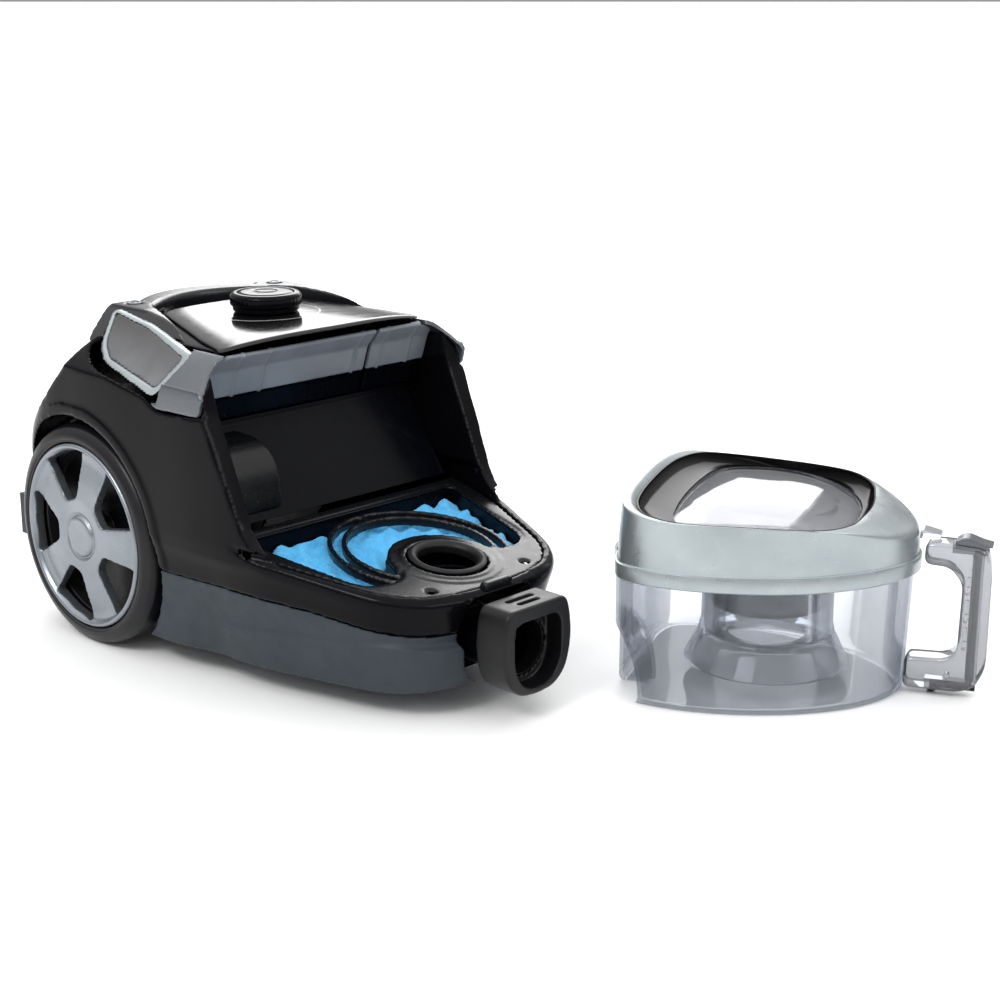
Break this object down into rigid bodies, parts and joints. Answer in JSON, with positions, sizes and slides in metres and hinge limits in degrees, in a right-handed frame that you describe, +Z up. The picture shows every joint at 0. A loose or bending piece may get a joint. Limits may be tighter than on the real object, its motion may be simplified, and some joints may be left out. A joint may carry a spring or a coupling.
{
  "type": "canister vacuum cleaner",
  "caption": "Wheeled canister vacuum cleaner shown open, with its clear cyclone dust container lifted out and standing beside it.",
  "frame": {"origin": "on the floor, below the middle of the bounding box of the machine and its container", "axes": "+Z up, -Y towards the front of the machine (its hose connector), +X towards the machine's left side, where the container stands"},
  "size_m": [0.4364, 0.7388, 0.2867],
  "materials": {
    "tray_grey": "satin moulded plastic",
    "gloss_black": "high gloss",
    "satin_black": "satin, fine grain",
    "graphite": "metallic graphite paint on plastic",
    "silver": "metallic silver paint on plastic",
    "smoke_clear": "transparent, smoke tint",
    "clear": "transparent, polished",
    "seal_rubber": "matte",
    "tyre": "satin rubber",
    "foam": "open-cell foam",
    "steel": "turned",
    "winding": "lacquered wire and laminations",
    "filter_paper": "pleated filter paper",
    "board": "lacquered board"
  },
  "bodies": {
    "machine": {"chassis_tray": "tray_grey", "upper_body": "gloss_black", "deck_plate": "satin_black", "filter_tray": "satin_black", "foam_filter": "foam", "inlet_gasket": "seal_rubber", "inlet_duct": "satin_black", "hose_connector": "satin_black", "compartment_wall": "satin_black", "step_ledge": "graphite", "top_panel": "gloss_black", "carry_handle": "satin_black", "side_trim_left": "graphite", "side_window_rim_left": "silver", "side_window_left": "gloss_black", "side_trim_right": "graphite", "side_window_rim_right": "silver", "side_window_right": "gloss_black", "axle_left": "steel", "axle_right": "steel", "control_board": "board", "motor_housing": "satin_black", "motor_seal": "seal_rubber", "motor_stator": "winding", "reel_frame": "satin_black", "exhaust_filter": "filter_paper", "cord_outlet": "satin_black", "parking_bracket": "tray_grey", "bay_duct_cover": "satin_black"},
    "wheel_left": {"tyre_left": "tyre", "wheel_disc_left": "satin_black", "hubcap_left": "silver"},
    "wheel_right": {"tyre_right": "tyre", "wheel_disc_right": "satin_black", "hubcap_right": "silver"},
    "caster_swivel": {"caster_fork": "satin_black", "caster_pin": "steel"},
    "caster_roller": {"caster_wheel": "seal_rubber"},
    "knob": {"suction_knob": "gloss_black", "suction_knob_cap": "gloss_black"},
    "power_key": {"power_button": "graphite"},
    "rewind_key": {"cord_rewind_button": "graphite"},
    "fan": {"motor_fan": "steel"},
    "reel": {"cord_reel": "satin_black"},
    "container": {"dust_bin": "smoke_clear", "bin_handle": "clear", "latch_hook_pin": "steel", "handle_screw": "steel", "lid_hinge_pin": "steel"},
    "lid": {"lid_frame": "silver", "lid_bezel": "gloss_black", "lid_window": "clear", "lid_seal": "seal_rubber", "lid_catch": "clear", "cyclone_tube": "smoke_clear", "cyclone_vane": "smoke_clear", "cyclone_skirt": "smoke_clear"},
    "release": {"release_button": "graphite", "latch_rod": "satin_black"},
    "hook": {"latch_hook": "satin_black"}
  },
  "joints": [
    {"name": "wheel_left_spin", "type": "hinge", "parent": "machine", "child": "wheel_left", "pos_m": [0.04182, 0.23141, 0.092], "axis": [1, 0, 0], "continuous": true},
    {"name": "wheel_right_spin", "type": "hinge", "parent": "machine", "child": "wheel_right", "pos_m": [-0.19818, 0.23141, 0.092], "axis": [1, 0, 0], "continuous": true},
    {"name": "caster_swivel_turn", "type": "hinge", "parent": "machine", "child": "caster_swivel", "pos_m": [-0.07818, 0.00641, 0.04], "axis": [0, 0, 1], "continuous": true},
    {"name": "caster_roll", "type": "hinge", "parent": "caster_swivel", "child": "caster_roller", "pos_m": [-0.07818, 0.01641, 0.015], "axis": [1, 0, 0], "continuous": true},
    {"name": "knob_turn", "type": "hinge", "parent": "machine", "child": "knob", "pos_m": [-0.07818, 0.15341, 0.27], "axis": [0, 0, 1], "range_deg": [-135, 135]},
    {"name": "power_press", "type": "slide", "parent": "machine", "child": "power_key", "axis": [0, 0, -1], "range_m": [0, 0.0025], "stiffness_N_per_m": 400, "springref_m": -0.002},
    {"name": "rewind_press", "type": "slide", "parent": "machine", "child": "rewind_key", "axis": [0, 0, -1], "range_m": [0, 0.0025], "stiffness_N_per_m": 400, "springref_m": -0.002},
    {"name": "fan_spin", "type": "hinge", "parent": "machine", "child": "fan", "pos_m": [-0.12818, 0.20141, 0.118], "axis": [0, 1, 0], "continuous": true},
    {"name": "reel_turn", "type": "hinge", "parent": "machine", "child": "reel", "pos_m": [-0.02818, 0.24341, 0.118], "axis": [1, 0, 0], "continuous": true},
    {"name": "container_lift", "type": "slide", "parent": "machine", "child": "container", "axis": [0, 0, 1], "range_m": [0, 0.25]},
    {"name": "lid_hinge", "type": "hinge", "parent": "container", "child": "lid", "pos_m": [0.06979, -0.11383, 0.104], "axis": [-0.8988, -0.4384, 0], "range_deg": [0, 70]},
    {"name": "release_press", "type": "slide", "parent": "container", "child": "release", "axis": [0, 0, -1], "range_m": [0, 0.003], "stiffness_N_per_m": 500, "springref_m": -0.002},
    {"name": "hook_tilt", "type": "hinge", "parent": "container", "child": "hook", "pos_m": [0.17895, -0.33763, 0.0072], "axis": [0.8988, 0.4384, 0], "range_deg": [0, 9.6]}
  ],
  "couplings": [
    {"joint": "hook_tilt", "follows": "release_press", "rad_per_m": 52.6}
  ]
}
